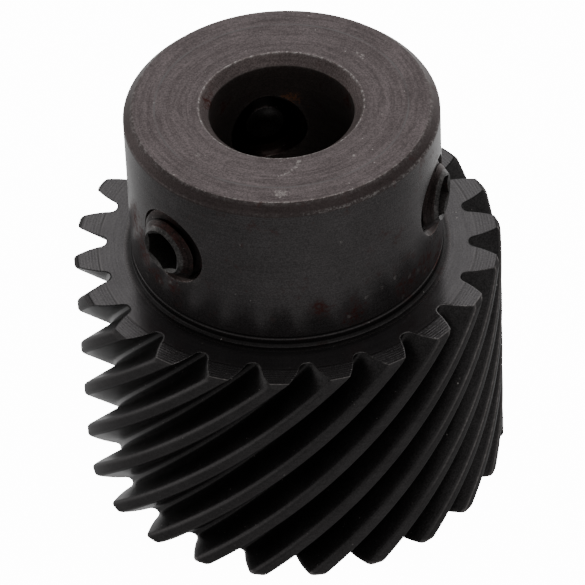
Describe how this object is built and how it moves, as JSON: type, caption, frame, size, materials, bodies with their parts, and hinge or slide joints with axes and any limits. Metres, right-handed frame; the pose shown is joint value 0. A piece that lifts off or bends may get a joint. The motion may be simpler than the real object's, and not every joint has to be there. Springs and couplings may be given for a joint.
{
  "type": "helical gear",
  "caption": "Right-hand 45 degree helical gear cut in one piece with a long plain hub, with a through bore and radial hexagon socket set screws.",
  "frame": {"origin": "middle of the toothed end face, on the bore's axis; the gear stands on that face", "axes": "+Z along the bore from the toothed end to the hub end; the rear set screw is on the +Y side, and at the hub side of the teeth one tooth is centred on +Y"},
  "size_m": [0.033, 0.033, 0.0337],
  "materials": {
    "gear_steel": "dark, lightly oiled machined steel with fine turning marks and a few rust spots",
    "screw_steel": "black oxide, worn bright on its edges"
  },
  "bodies": {
    "gear": {"gear_body": "gear_steel"},
    "screw_left": {"set_screw_left": "screw_steel"},
    "screw_right": {"set_screw_right": "screw_steel"},
    "screw_rear": {"set_screw_rear": "screw_steel"}
  },
  "joints": [
    {"name": "screw_left_travel", "type": "slide", "parent": "gear", "child": "screw_left", "axis": [-0.866, -0.5, 0], "range_m": [-0.001, 0.004]},
    {"name": "screw_right_travel", "type": "slide", "parent": "gear", "child": "screw_right", "axis": [0.866, -0.5, 0], "range_m": [-0.001, 0.004]},
    {"name": "screw_rear_travel", "type": "slide", "parent": "gear", "child": "screw_rear", "axis": [0, 1, 0], "range_m": [-0.001, 0.004]}
  ]
}
